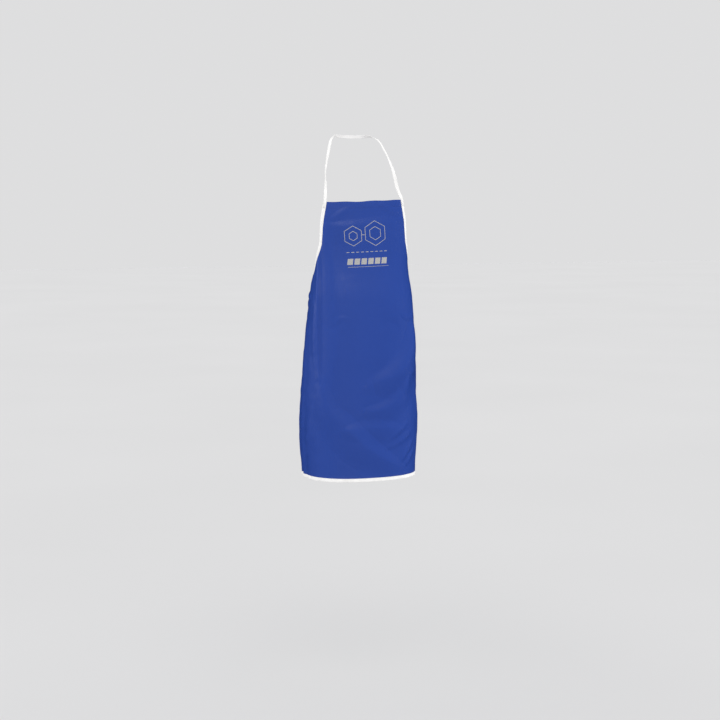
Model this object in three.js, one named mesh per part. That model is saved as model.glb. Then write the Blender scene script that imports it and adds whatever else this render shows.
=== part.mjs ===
// A bib apron of thin coated cloth, in the shape it takes on the person who wears it.
// Millimetres. +Z is up, -Y is the way the wearer faces, +X is the wearer's left.
// The origin is on the inner face of the neck strap, where it bears on the nape.
import * as THREE from 'three';

// Cut of the cloth, measured flat
const BIB_TOP_HALF = 131;       // half the width of the bib's top edge
const FULL_HALF = 325;          // half the width from the waist down
const ARMHOLE_DEPTH = 270;      // from the top edge down to the waist corners
const LENGTH = 840;             // from the top edge to the hem
const EDGE_BOW = 8;             // the bib's edges bow out this much, within BOW_DEPTH of the top
const BOW_DEPTH = 125;

// Where it hangs
const TOP_Z = -196;
const WAIST_Z = TOP_Z - ARMHOLE_DEPTH;
const HEM_Z = TOP_Z - LENGTH;
const BIB_FOLD_Z = -406;        // the cloth folds forward here when the bib is let down
const SKIRT_FOLD_Z = -656;      // and here when the skirt is lifted

// Cloth and tape
const CLOTH = 2.0;
const TAPE_WIDTH = 12;
const STRAP_WIDTH = 10;         // the neck strap is narrower than the waist ties
const TAPE = 1.2;
const BINDING_WIDTH = 10;       // how far the folded tape covers the cloth
const BINDING_WALL = 0.7;
const BINDING_EASE = 1.0;       // room between the cloth and each side of the folded tape
const TOP_HEM_DEPTH = 22;
const TOUCH = 0.3;              // gap between neighbouring pieces

// Stitched squares that fasten the tape at the corners
const TACK = { wide: 9, tall: 12, thick: 0.6 };

// Waist tie, knot and bow
const TIE_Z = WAIST_Z - TAPE_WIDTH / 2;
const KNOT = { x: 10, y: 8, z: 11 };
const BOW_LENGTH = 88;
const BOW_DROOP = THREE.MathUtils.degToRad(24);
const TAIL_LENGTH = 285;
const TAIL_SPREAD = 20;

// Worn shape of the cloth from above, at a few heights: half the width across the wearer,
// depth (Y) of the line down the side, and depth of the front.
const WORN = [
  { z: -196, half: 171, side: -38, front: -137 },
  { z: -343, half: 155, side: -63, front: -156 },
  { z: -409, half: 150, side: -85, front: -168 },
  { z: -493, half: 161, side: -92, front: -188 },
  { z: -622, half: 170, side: -80, front: -205 },
  { z: -733, half: 177, side: -74, front: -211 },
  { z: -883, half: 181, side: -68, front: -215 },
  { z: -1036, half: 174, side: -73, front: -218 },
];
const BACK_DEPTH = 100;         // from the side line back to the middle of the wearer's back
const SQUARENESS = 2.4;         // 2 is an ellipse; more makes the front and the sides flatter

// Mesh density
const BIB_COLUMNS = 17;
const SKIRT_COLUMNS = 33;
const ARMHOLE_ROWS = 14;
const WAIST_ROWS = 6;
const SKIRT_ROWS = 10;

const colours = {
  cloth: new THREE.MeshStandardMaterial({ color: 0x304999, roughness: 0.45, metalness: 0 }),
  tape: new THREE.MeshStandardMaterial({ color: 0xf0eeec, roughness: 0.8, metalness: 0 }),
  thread: new THREE.MeshStandardMaterial({ color: 0xe4e2df, roughness: 0.7, metalness: 0 }),
};

const v3 = (x, y, z) => new THREE.Vector3(x, y, z);
const range = (from, to, steps) =>
  Array.from({ length: steps + 1 }, (_, i) => from + ((to - from) * i) / steps);

// ---- worn surface -------------------------------------------------------------------------

// A smooth value of one WORN field at any height.
function worn(field, z) {
  let i = 0;
  while (i < WORN.length - 2 && z < WORN[i + 1].z) i += 1;
  const at = (k) => WORN[Math.min(Math.max(k, 0), WORN.length - 1)];
  const slope = (k) => (at(k + 1)[field] - at(k - 1)[field]) / (at(k + 1).z - at(k - 1).z);
  const [low, high] = [at(i), at(i + 1)];
  const step = high.z - low.z;
  const t = Math.min(Math.max((z - low.z) / step, 0), 1);
  const [t2, t3] = [t * t, t * t * t];
  return (2 * t3 - 3 * t2 + 1) * low[field] + (t3 - 2 * t2 + t) * step * slope(i)
    + (3 * t2 - 2 * t3) * high[field] + (t3 - t2) * step * slope(i + 1);
}

// The section at one height as points and lengths along it, from the front to the back.
const sections = new Map();
function section(z) {
  if (sections.has(z)) return sections.get(z);
  const half = worn('half', z);
  const side = worn('side', z);
  const frontDepth = side - worn('front', z);
  const power = 2 / SQUARENESS;
  const points = range(0, Math.PI, 240).map((turn) => {
    const [s, c] = [Math.max(Math.sin(turn), 0), Math.cos(turn)];
    const depth = c > 0 ? frontDepth : BACK_DEPTH;
    return [half * s ** power, side - Math.sign(c) * depth * Math.abs(c) ** power];
  });
  const lengths = [0];
  for (let i = 1; i < points.length; i += 1) {
    const [a, b] = [points[i - 1], points[i]];
    lengths.push(lengths[i - 1] + Math.hypot(b[0] - a[0], b[1] - a[1]));
  }
  sections.set(z, { points, lengths });
  return sections.get(z);
}

const halfGirth = (z) => section(z).lengths.at(-1);

// The point that lies `along` the section from the front middle, minus for the wearer's right.
function surface(along, z) {
  const { points, lengths } = section(z);
  const reach = Math.min(Math.abs(along), lengths.at(-1));
  let i = 1;
  while (lengths[i] < reach) i += 1;
  const t = (reach - lengths[i - 1]) / (lengths[i] - lengths[i - 1]);
  const [x, y] = [0, 1].map((k) => points[i - 1][k] + t * (points[i][k] - points[i - 1][k]));
  return v3(Math.sign(along) * x, y, z);
}

// Outward direction of the surface.
function outward(along, z) {
  const across = surface(along + 4, z).sub(surface(along - 4, z));
  const up = surface(along, z + 4).sub(surface(along, z - 4));
  return across.cross(up).normalize();
}

// ---- cut of the cloth ---------------------------------------------------------------------

// The armhole is a quarter of an ellipse from the bib's corner down to the waist corner.
const armholeTurn = (z) => Math.asin(Math.min((TOP_Z - z) / ARMHOLE_DEPTH, 1));
const armholeHeight = (turn) => TOP_Z - ARMHOLE_DEPTH * Math.sin(turn);
const SHOULDER_CUT = FULL_HALF - BIB_TOP_HALF;
const edgeBow = (z) =>
  EDGE_BOW * Math.sin(Math.PI * Math.min(Math.max((TOP_Z - z) / BOW_DEPTH, 0), 1));
const halfWidth = (z) =>
  FULL_HALF - SHOULDER_CUT * Math.cos(z > WAIST_Z ? armholeTurn(z) : Math.PI / 2) + edgeBow(z);

const foldTurn = armholeTurn(BIB_FOLD_Z);
const foldRow = Math.round((ARMHOLE_ROWS * foldTurn) / (Math.PI / 2));
const bibRows = range(0, foldTurn, foldRow).map(armholeHeight);
const armholeTail = range(armholeTurn(BIB_FOLD_Z - TOUCH), Math.PI / 2, ARMHOLE_ROWS - foldRow)
  .map(armholeHeight);
const CORNER_CLEAR = BINDING_WIDTH + BINDING_WALL + 2 * TOUCH;   // room for the tape that crosses
const flankRows = range(WAIST_Z - CORNER_CLEAR, SKIRT_FOLD_Z, WAIST_ROWS);
const waistRows = [...armholeTail, ...flankRows];
const skirtRows = range(SKIRT_FOLD_Z - TOUCH, HEM_Z, SKIRT_ROWS);

// ---- solids -------------------------------------------------------------------------------

// A closed strip: each ring is its outer points followed by its inner points, going back.
// Four corners are split along their shorter diagonal, and the inner wall like the outer one.
function strip(rings) {
  const size = rings[0].length;
  const faces = [];
  const leansBack = (k, i) => rings[k + 1][i].distanceTo(rings[k][i + 1])
    < rings[k][i].distanceTo(rings[k + 1][i + 1]);
  rings.slice(1).forEach((_, k) => {
    for (let i = 0; i < size; i += 1) {
      const [a, b] = [k * size + i, k * size + ((i + 1) % size)];
      const opposite = Math.max(size - 2 - i, 0);
      if (i < size / 2 ? leansBack(k, i) : !leansBack(k, opposite)) {
        faces.push(a, a + size, b, b, a + size, b + size);
      } else {
        faces.push(a, a + size, b + size, a, b + size, b);
      }
    }
  });
  const last = (rings.length - 1) * size;
  for (let i = 0; i < size / 2 - 1; i += 1) {
    const j = size - 1 - i;
    faces.push(i, i + 1, j, i + 1, j - 1, j);
    faces.push(last + i, last + j, last + i + 1, last + i + 1, last + j, last + j - 1);
  }
  const geometry = new THREE.BufferGeometry();
  const positions = rings.flat().flatMap((p) => [p.x, p.y, p.z]);
  geometry.setAttribute('position', new THREE.Float32BufferAttribute(positions, 3));
  geometry.setIndex(faces);
  geometry.computeVertexNormals();
  return geometry;
}

// Cloth between two offsets from the worn surface, over the given rows.
function clothOver(rows, columns, outer, inner, narrower = 0) {
  return strip(rows.map((z) => {
    const spots = range(-1, 1, columns).map((share) => share * (halfWidth(z) - narrower));
    const layer = (offset) =>
      spots.map((along) => surface(along, z).addScaledVector(outward(along, z), offset));
    return [...layer(outer), ...layer(inner).reverse()];
  }));
}

// Tape folded over an edge. A stop is a place on the edge and the way into the cloth, both as
// [along the section, height].
function foldedTape(stops) {
  const slot = CLOTH / 2 + BINDING_EASE;
  const wall = slot + BINDING_WALL;
  return strip(stops.map(([[along, z], [into, rise]]) => {
    const spot = (depth, offset) => {
      const place = [along + depth * into, z + depth * rise];
      return surface(...place).addScaledVector(outward(...place), offset);
    };
    const [lip, middle, bend, fold] =
      [BINDING_WIDTH, BINDING_WIDTH / 2, -TOUCH, -TOUCH - BINDING_WALL];
    const outside = [lip, middle, fold].map((depth) => [depth, -wall]);
    const inside = [lip, middle, bend].map((depth) => [depth, slot]);
    const back = (side) => side.map(([depth, offset]) => [depth, -offset]).reverse();
    return [...outside, ...back(outside), ...inside, ...back(inside)].map((p) => spot(...p));
  }));
}

// Flat tape along a route of [point, way the face looks] stops.
function flatTape(stops, steps, width = TAPE_WIDTH) {
  const route = new THREE.CatmullRomCurve3(stops.map(([point]) => point), false, 'centripetal');
  const looks = new THREE.CatmullRomCurve3(stops.map(([, face]) => face));
  return strip(range(0, 1, steps).map((t) => {
    const run = route.getTangent(t);
    const across = run.clone().cross(looks.getPoint(t)).normalize();
    const face = across.clone().cross(run).normalize();
    const spot = (side, rise) => route.getPoint(t)
      .addScaledVector(across, (side * width) / 2).addScaledVector(face, (rise * TAPE) / 2);
    return [spot(1, 1), spot(-1, 1), spot(-1, -1), spot(1, -1)];
  }));
}

// ---- pieces -------------------------------------------------------------------------------

const apron = new THREE.Group();
function add(name, geometry, material) {
  const mesh = new THREE.Mesh(geometry, material);
  mesh.name = name;
  apron.add(mesh);
  return mesh;
}

function panels() {
  const skin = CLOTH / 2;
  add('bib_panel', clothOver(bibRows, BIB_COLUMNS, skin, -skin), colours.cloth);
  add('waist_panel', clothOver(waistRows, SKIRT_COLUMNS, skin, -skin), colours.cloth);
  add('skirt_panel', clothOver(skirtRows, SKIRT_COLUMNS, skin, -skin), colours.cloth);
}

// The bib's top edge is turned in and stitched down behind.
function topHem() {
  const face = -CLOTH / 2 - TOUCH - BINDING_EASE;
  const rows = range(TOP_Z, TOP_Z - TOP_HEM_DEPTH, 2);
  const geometry = clothOver(rows, BIB_COLUMNS, face, face - 1, BINDING_WIDTH + 2);
  add('bib_top_hem', geometry, colours.cloth);
}

// Folded tape round every edge except the bib's top. `side` is -1 on the wearer's right.
function armholeStop(z, side) {
  const turn = armholeTurn(z);
  const into = new THREE.Vector2(-ARMHOLE_DEPTH * Math.cos(turn), -SHOULDER_CUT * Math.sin(turn));
  if (z === bibRows.at(-1) || z === armholeTail[0]) into.set(-1, 0);
  into.normalize();
  return [[side * halfWidth(z), z], [side * into.x, into.y]];
}
const sideStop = (z, side) => [[side * FULL_HALF, z], [-side, 0]];

function bindings(side, word) {
  const taped = (name, rows, stop) => {
    const downward = rows.map((z) => stop(z, side));
    add(`${name}_${word}`, foldedTape(side < 0 ? downward : downward.reverse()), colours.tape);
  };
  taped('armhole_binding', bibRows, armholeStop);
  taped('waist_binding', armholeTail, armholeStop);
  taped('flank_binding', flankRows, sideStop);
  taped('side_binding', range(SKIRT_FOLD_Z - TOUCH, HEM_Z + CORNER_CLEAR, SKIRT_ROWS), sideStop);
}
function hemBinding() {
  const stops = range(-FULL_HALF, FULL_HALF, SKIRT_COLUMNS).map((along) => [[along, HEM_Z], [0, 1]]);
  add('hem_binding', foldedTape(stops), colours.tape);
}

// One tape runs from the bib's corners over the shoulders and behind the neck.
function neckStrap() {
  const along = BIB_TOP_HALF - STRAP_WIDTH / 2;
  const start = surface(along, TOP_Z).setZ(TOP_Z + TAPE + TOUCH);
  const look = outward(along, TOP_Z).setZ(0);
  const half = [
    [start, look],
    [start.clone().add(v3(-5, 6, 30)), look],
    [v3(108, -83, -101), v3(0.5, -0.8, 0.35)],
    [v3(91, -60, -45), v3(0.45, -0.6, 0.65)],
    [v3(74, -36, -8), v3(0.35, -0.1, 0.95)],
    [v3(56, -12, 2), v3(0.5, 0.5, 0.7)],
    [v3(32, -1, 1), v3(0.3, 0.9, 0.35)],
  ];
  const mirrored = half.map(([p, face]) => [v3(-p.x, p.y, p.z), v3(-face.x, face.y, face.z)]);
  const nape = [v3(0, TAPE / 2, 0), v3(0, 1, 0)];
  add('neck_strap', flatTape([...half, nape, ...mirrored.reverse()], 48, STRAP_WIDTH), colours.tape);
}

// A stitched square lies on the folded tape at a corner.
function tack(name, along, z) {
  const away = CLOTH / 2 + BINDING_EASE + BINDING_WALL + TOUCH + TACK.thick / 2 + 0.2;
  const face = outward(along, z);
  const square = add(name, new THREE.BoxGeometry(TACK.wide, TACK.thick, TACK.tall), colours.thread);
  square.position.copy(surface(along, z).addScaledVector(face, away));
  const sideways = face.clone().cross(v3(0, 0, 1)).normalize();
  const basis = new THREE.Matrix4().makeBasis(sideways, face, sideways.clone().cross(face));
  square.quaternion.setFromRotationMatrix(basis);
}

const knotCentre = v3(0, surface(halfGirth(TIE_Z), TIE_Z).y + KNOT.y / 2, TIE_Z);

function waistTie(side, word) {
  const stops = range(FULL_HALF + 2 * CLOTH, halfGirth(TIE_Z) - KNOT.x - 1, 6)
    .map((along) => [surface(side * along, TIE_Z), outward(side * along, TIE_Z)]);
  add(`waist_tie_${word}`, flatTape(stops, 10), colours.tape);
}

function knot() {
  const mesh = add('bow_knot', new THREE.IcosahedronGeometry(1, 2), colours.tape);
  mesh.scale.set(KNOT.x, KNOT.y, KNOT.z);
  mesh.position.copy(knotCentre);
}

// A flat loop of tape, drooping outward from the knot.
function bowLoop(side, word) {
  const out = v3(side * Math.cos(BOW_DROOP), 0, -Math.sin(BOW_DROOP));
  const root = knotCentre.clone().add(v3(side * (KNOT.x + TOUCH), 3, -1));
  const run = [[0, 0], [0.3, -1.5], [0.65, -3], [0.9, -1], [1, 5], [0.9, 11], [0.6, 12], [0.28, 9], [0, 5]];
  const spots = run.map(([share, lift]) =>
    root.clone().addScaledVector(out, share * BOW_LENGTH).add(v3(0, lift, 0)));
  const stops = spots.map((p, k) => {
    const next = spots[Math.min(k + 1, spots.length - 1)];
    const before = spots[Math.max(k - 1, 0)];
    const face = next.clone().sub(before).cross(v3(side * Math.sin(BOW_DROOP), 0, Math.cos(BOW_DROOP)));
    return [p, face.normalize()];
  });
  add(`bow_loop_${word}`, flatTape(stops, 28), colours.tape);
}

function tail(side, word) {
  const top = knotCentre.clone().add(v3(side * (TAPE_WIDTH / 2 + 1.5), 3, -KNOT.z - 4));
  const stops = [0, 0.1, 0.4, 0.8, 1].map((share) => {
    const spread = side * TAIL_SPREAD * share * share;
    return [top.clone().add(v3(spread, 0, -share * TAIL_LENGTH)), v3(0, 1, 0)];
  });
  add(`tie_tail_${word}`, flatTape(stops, 12), colours.tape);
}

panels();
topHem();
hemBinding();
neckStrap();
knot();
for (const [side, word] of [[-1, 'right'], [1, 'left']]) {
  bindings(side, word);
  tack(`strap_tack_${word}`, side * (BIB_TOP_HALF - BINDING_WIDTH / 2), TOP_Z - TACK.tall / 2 - 3);
  tack(`tie_tack_${word}`, side * (FULL_HALF - TACK.wide / 2 - 1), WAIST_Z - TACK.tall / 2 + 1);
  waistTie(side, word);
  bowLoop(side, word);
  tail(side, word);
}

export default apron;
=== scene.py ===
"""A bib apron of thin coated cloth with white taped edges, in the shape it takes on its wearer.

Lengths in this script are millimetres unless a name says otherwise, and meshes are made in metres.
A place on the cloth is (along, height): the distance along the cloth from its front middle, minus
on the wearer's right, and the height in the part's frame.
"""
import math

import bpy
import numpy as np
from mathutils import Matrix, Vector


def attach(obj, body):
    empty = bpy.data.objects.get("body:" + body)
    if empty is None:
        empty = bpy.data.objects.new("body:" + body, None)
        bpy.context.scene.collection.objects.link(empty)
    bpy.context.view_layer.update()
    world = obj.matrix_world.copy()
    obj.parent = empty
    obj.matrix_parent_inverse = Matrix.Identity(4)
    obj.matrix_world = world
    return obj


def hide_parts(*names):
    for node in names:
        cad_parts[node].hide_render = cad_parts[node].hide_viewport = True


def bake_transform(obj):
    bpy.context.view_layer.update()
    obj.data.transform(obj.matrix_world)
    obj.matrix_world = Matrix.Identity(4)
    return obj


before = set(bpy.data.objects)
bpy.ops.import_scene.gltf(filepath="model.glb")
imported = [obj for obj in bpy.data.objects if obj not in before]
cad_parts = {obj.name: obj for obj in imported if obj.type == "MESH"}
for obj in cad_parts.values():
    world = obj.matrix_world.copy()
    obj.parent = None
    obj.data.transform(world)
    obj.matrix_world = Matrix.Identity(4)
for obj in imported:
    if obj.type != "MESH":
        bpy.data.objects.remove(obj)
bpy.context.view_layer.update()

MM = 0.001
SIDES = {"right": -1, "left": 1}

# ---- camera and studio ----------------------------------------------------------------------

FLOOR_HEIGHT, FLOOR_REACH = -1606.0, 30000.0
ROOM_DIM, ROOM_BRIGHT, ROOM_STRENGTH = (0.62, 0.62, 0.625), (1.0, 1.0, 1.0), 1.18
CAMERA_AZIMUTH = math.radians(-19.6)
CAMERA_PITCH = math.radians(5.88)
CAMERA_PLACE = (-1.500, -4.3005, -0.221)      # metres
CAMERA_LENS = 73.2                            # on a 36 mm sensor


def aimed(name, data, place, forward):
    """A camera or lamp in the scene, turned to look forward."""
    made = bpy.data.objects.new(name, data)
    bpy.context.scene.collection.objects.link(made)
    made.location = place
    made.rotation_mode = "QUATERNION"
    made.rotation_quaternion = forward.to_track_quat("-Z", "Y")
    return made


def camera():
    data = bpy.data.cameras.new("camera")
    data.lens = CAMERA_LENS
    data.sensor_width = 36.0
    data.clip_end = 200.0
    level = math.cos(CAMERA_PITCH)
    forward = Vector((-math.sin(CAMERA_AZIMUTH) * level, math.cos(CAMERA_AZIMUTH) * level,
                      -math.sin(CAMERA_PITCH)))
    bpy.context.scene.camera = aimed("camera", data, CAMERA_PLACE, forward)


LAMP_AIM = (0.0, -0.1, -0.6)                  # metres
# Each lamp: place and size in metres, watts, and whether the cloth's coating mirrors it.
LAMPS = {
    "key_light": ((-0.7, -2.5, 2.3), (1.9, 0.8), 35.0, True),
    "front_fill": ((-0.7, -2.6, -1.35), (1.8, 0.4), 11.0, False),
    "left_fill": ((3.3, -1.2, -0.7), (1.6, 1.6), 43.0, False),
    "right_fill": ((-3.5, -0.4, -0.7), (1.6, 1.6), 15.0, False),
    "rim_light": ((-3.2, 0.9, 0.4), (0.5, 2.0), 12.0, True),
}


def soft_light(name, place, size, watts, mirrored, unlit):
    """A large lamp that leaves the pieces of the `unlit` collection alone."""
    data = bpy.data.lights.new(name, "AREA")
    data.shape = "RECTANGLE"
    data.size, data.size_y = size
    data.energy = watts
    made = aimed(name, data, place, Vector(LAMP_AIM) - Vector(place))
    made.visible_camera = False
    made.visible_glossy = mirrored
    made.light_linking.receiver_collection = unlit
    for entry in unlit.collection_objects:
        entry.light_linking.link_state = "EXCLUDE"


def studio():
    """A pale room that is brightest overhead, a pale floor, and soft lamps in front and behind."""
    points = [(x * FLOOR_REACH, y * FLOOR_REACH, FLOOR_HEIGHT)
              for x, y in ((-1, -1), (1, -1), (1, 1), (-1, 1))]
    floor = mesh_object("floor", points, [(0, 1, 2, 3)], floor_material())
    floor.visible_glossy = False
    unlit = bpy.data.collections.new("unlit_by_lamps")
    unlit.objects.link(floor)
    world = bpy.data.worlds.new("pale_room")
    world.use_nodes = True
    tree = Nodes(world.node_tree)
    direction = tree.add("ShaderNodeTexCoord").outputs["Generated"]
    height = tree.add("ShaderNodeSeparateXYZ", Vector=direction).outputs["Z"]
    dome = tree.ramp(height, [(0.0, ROOM_DIM), (0.34, ROOM_DIM), (0.75, ROOM_BRIGHT)])
    background = world.node_tree.nodes["Background"]
    tree.put(background, "Strength", ROOM_STRENGTH)
    tree.put(background, "Color", dome)
    bpy.context.scene.world = world
    world.cycles_visibility.glossy = False      # the coating mirrors the lamps, not the room
    for name, lamp in LAMPS.items():
        soft_light(name, *lamp, unlit)
    bpy.context.scene.view_settings.view_transform = "Standard"


# ---- materials ------------------------------------------------------------------------------

class Nodes:
    """Shorthand for building a node tree."""

    def __init__(self, tree):
        self.tree = tree

    def add(self, kind, settings=None, **inputs):
        node = self.tree.nodes.new(kind)
        for name, value in (settings or {}).items():
            setattr(node, name, value)
        for name, value in inputs.items():
            self.put(node, name.replace("_", " "), value)
        return node

    def put(self, node, name, value):
        if isinstance(value, bpy.types.NodeSocket):
            self.tree.links.new(value, node.inputs[name])
        else:
            node.inputs[name].default_value = value

    def ramp(self, factor, stops):
        node = self.add("ShaderNodeValToRGB", Fac=factor)
        ends = node.color_ramp.elements
        while len(ends) < len(stops):
            ends.new(0.5)
        for end, (place, colour) in zip(ends, stops):
            end.position = place
            end.color = (*colour, 1.0)
        return node.outputs["Color"]

    def math(self, operation, *values, clamp=False):
        node = self.add("ShaderNodeMath", {"operation": operation, "use_clamp": clamp})
        for place, value in enumerate(values):
            self.put(node, place, value)
        return node.outputs[0]

    def shaded(self, colour, height, amount):
        """A colour with painted shade where a height is low, darkened by this amount where the height
        is 0.
        """
        return self.add("ShaderNodeMixRGB", {"blend_type": "MULTIPLY"}, Fac=amount, Color1=colour,
                        Color2=height).outputs["Color"]

    def noise(self, vector, scale, detail):
        return self.add("ShaderNodeTexNoise", Vector=vector, Scale=scale,
                        Detail=detail).outputs["Fac"]

    def between(self, factor, low, high):
        """A number from low to high as the factor goes from 0 to 1."""
        return self.math("MULTIPLY_ADD", factor, high - low, low)

    def bump(self, height, distance, normal=None):
        node = self.add("ShaderNodeBump", Height=height, Distance=distance, Strength=1.0)
        if normal is not None:
            self.put(node, "Normal", normal)
        return node.outputs["Normal"]


def material(name, roughness, specular, sheen=0.0):
    """A material with its Principled shader, the nodes' shorthand, and the cut's coordinates."""
    made = bpy.data.materials.new(name)
    made.use_nodes = True
    shader = made.node_tree.nodes["Principled BSDF"]
    tree = Nodes(made.node_tree)
    tree.put(shader, "Roughness", roughness)
    tree.put(shader, "Specular IOR Level", specular)
    tree.put(shader, "Sheen Weight", sheen)
    cut = tree.add("ShaderNodeUVMap", {"uv_map": "cut"}).outputs["UV"]
    return made, shader, tree, cut


def weave(tree, cut, pitch_m):
    """Warp and weft threads crossing, as a height from 0 to 1."""
    split = tree.add("ShaderNodeSeparateXYZ", Vector=cut)
    turns = [tree.math("MULTIPLY", split.outputs[way], math.pi / pitch_m) for way in "XY"]
    warp, weft = (tree.math("ABSOLUTE", tree.math("SINE", turn)) for turn in turns)
    return tree.math("MULTIPLY", warp, weft)


def twill(tree, cut, pitch_m):
    """Diagonal ribs that turn back at the tape's middle, as a height from 0 to 1."""
    split = tree.add("ShaderNodeSeparateXYZ", Vector=cut)
    across = tree.math("ABSOLUTE", split.outputs["X"])
    run = tree.math("ADD", across, split.outputs["Y"])
    wave = tree.math("SINE", tree.math("MULTIPLY", run, math.tau / pitch_m))
    return tree.math("MULTIPLY_ADD", wave, 0.5, 0.5)


def cloth_material():
    """Royal blue cloth with a smooth coating: satin, with a fine weave just under the coating."""
    made, shader, tree, cut = material("coated_cloth", 0.36, 0.4)
    cloudy = tree.noise(cut, 9.0, 4.0)
    mottled = tree.noise(cut, 160.0, 2.0)
    threads = weave(tree, cut, 0.0007)
    tone = tree.ramp(cloudy, [(0.3, (0.0163, 0.0545, 0.300)), (0.7, (0.0177, 0.0572, 0.311))])
    wear = tree.add("ShaderNodeAttribute", {"attribute_name": "wear"}).outputs["Fac"]
    rubbed = tree.math("MULTIPLY", wear, tree.between(mottled, 0.1, 0.9), clamp=True)
    worn_tone = tree.add("ShaderNodeMixRGB", Fac=rubbed, Color1=tone,
                         Color2=(0.05, 0.09, 0.33, 1.0)).outputs["Color"]
    # Painted shade: the colour darkens in the hollows between the weave's threads.
    tree.put(shader, "Base Color", tree.shaded(worn_tone, threads, 0.10))
    tree.put(shader, "Roughness", tree.between(mottled, 0.33, 0.43))
    crumpled = tree.bump(tree.noise(cut, 55.0, 3.0), 0.0004)
    tree.put(shader, "Normal", tree.bump(threads, 0.00003, crumpled))
    return made


def woven_tape_material(name, pitch_m, depth_m, tone):
    """White cotton tape with diagonal ribs, painted shade in the hollows between the ribs, and faint
    cloudy soiling.
    """
    made, shader, tree, cut = material(name, 0.86, 0.25, sheen=0.12)
    ribs = twill(tree, cut, pitch_m)
    fibres = tree.noise(cut, 900.0, 4.0)
    cloudy = tree.noise(cut, 35.0, 2.0)
    soiled = tuple(share * 0.93 for share in tone)
    base = tree.ramp(cloudy, [(0.35, soiled), (0.65, tone)])
    # Painted shade: the colour darkens by up to 16% in the hollows between the ribs.
    tree.put(shader, "Base Color", tree.shaded(base, tree.between(ribs, 0.45, 1.0), 0.16))
    tree.put(shader, "Roughness", tree.between(fibres, 0.78, 0.94))
    tree.put(shader, "Normal", tree.bump(ribs, depth_m, tree.bump(fibres, 0.00006)))
    return made


def thread_material(name, tone):
    """Twisted sewing thread."""
    made, shader, tree, _ = material(name, 0.7, 0.3, sheen=0.1)
    place = tree.add("ShaderNodeTexCoord").outputs["Object"]
    strands = tree.noise(place, 2500.0, 2.0)
    base = tree.ramp(strands, [(0.3, tuple(0.85 * share for share in tone)), (0.7, tone)])
    tree.put(shader, "Base Color", base)
    tree.put(shader, "Normal", tree.bump(strands, 0.00006))
    return made


def print_material():
    """Grey-beige screen print, a little broken where the weave shows through."""
    made, shader, tree, cut = material("screen_print", 0.55, 0.35)
    speckle = tree.noise(cut, 700.0, 3.0)
    base = tree.ramp(speckle, [(0.35, (0.29, 0.30, 0.33)), (0.55, (0.40, 0.39, 0.375))])
    tree.put(shader, "Base Color", base)
    tree.put(shader, "Roughness", tree.between(speckle, 0.45, 0.65))
    tree.put(shader, "Normal", tree.bump(speckle, 0.00004))
    return made


def floor_material():
    made, shader, tree, _ = material("pale_floor", 1.0, 0.0)
    place = tree.add("ShaderNodeTexCoord").outputs["Object"]
    tones = [(0.3, (0.70, 0.70, 0.705)), (0.7, (0.715, 0.715, 0.72))]
    tree.put(shader, "Base Color", tree.ramp(tree.noise(place, 0.6, 2.0), tones))
    return made


# ---- worn shape of the cloth, the same as the CAD solids' ------------------------------------

BIB_TOP_HALF, FULL_HALF = 131.0, 325.0
ARMHOLE_DEPTH = 270.0
EDGE_BOW, BOW_DEPTH = 8.0, 125.0
TOP, WAIST, HEM = -196.0, -466.0, -1036.0

# Height, half the width across the wearer, depth of the side line, depth of the front.
STATIONS = np.array([
    (-1036, 174, -73, -218), (-883, 181, -68, -215), (-733, 177, -74, -211), (-622, 170, -80, -205),
    (-493, 161, -92, -188), (-409, 150, -85, -168), (-343, 155, -63, -156), (-196, 171, -38, -137),
], float)
HALF, SIDE_LINE, FRONT = 1, 2, 3
BACK_DEPTH = 100.0
SQUARENESS = 2.4

# The wearer isn't quite even: the cloth hangs this far to +X at the stations' heights.
LEAN = np.array([-0.7, -1.2, -1.0, -0.1, 1.4, 3.1, 2.2, 1.9])
BIB_TILT = 3.5                  # the bib's left corner hangs this much high, the right one low
TILT_FADES = -420.0             # no tilt below this height
TOP_SAG = 1.8                   # the bib's top edge dips this much right of its middle
PROBE, FINE_PROBE = 4.0, 1.5    # steps that the directions of the surfaces are taken over


def smooth(share):
    """From 0 to 1 with level ends."""
    share = np.clip(share, 0.0, 1.0)
    return share * share * (3.0 - 2.0 * share)


def lengths(points):
    """Length of a line up to each of its points."""
    return np.r_[0.0, np.cumsum(np.linalg.norm(np.diff(points, axis=0), axis=1))]


def at_lengths(wanted, length, points):
    """Points of a line, or values along it, at the wanted lengths."""
    return np.stack([np.interp(wanted, length, column) for column in np.transpose(points)], -1)


def bracket(stops, place):
    """The stop at or below each place, the step to the next stop, and the share of it."""
    low = np.clip(np.searchsorted(stops, place, side="right") - 1, 0, len(stops) - 2)
    step = stops[low + 1] - stops[low]
    return low, step, (place - stops[low]) / step


def hermite(values, slopes, low, step, t):
    """The smooth curve through values with slopes, at the shares t of the steps from low."""
    return ((2 * t**3 - 3 * t**2 + 1) * values[low] + (t**3 - 2 * t**2 + t) * step * slopes[low]
            + (3 * t**2 - 2 * t**3) * values[low + 1] + (t**3 - t**2) * step * slopes[low + 1])


def station(field, height):
    """One field of STATIONS at any heights, on a smooth curve."""
    heights, values = STATIONS[:, 0], STATIONS[:, field]
    rise = np.r_[values[1:], values[-1]] - np.r_[values[0], values[:-1]]
    slopes = rise / (np.r_[heights[1:], heights[-1]] - np.r_[heights[0], heights[:-1]])
    low, step, t = bracket(heights, height)
    return hermite(values, slopes, low, step, np.clip(t, 0.0, 1.0))


SECTION_TURNS = np.linspace(0.0, math.pi, 721)


def section(height):
    """Points (x, y) of the worn section at one height, from the front middle round the wearer's
    left to the back."""
    half, side, front = (station(field, height) for field in (HALF, SIDE_LINE, FRONT))
    sine, cosine = np.maximum(np.sin(SECTION_TURNS), 0.0), np.cos(SECTION_TURNS)
    depth = np.where(cosine > 0.0, side - front, BACK_DEPTH)
    x = half * sine**(2.0 / SQUARENESS)
    y = side - np.sign(cosine) * depth * np.abs(cosine)**(2.0 / SQUARENESS)
    return np.stack([x, y], -1)


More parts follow.
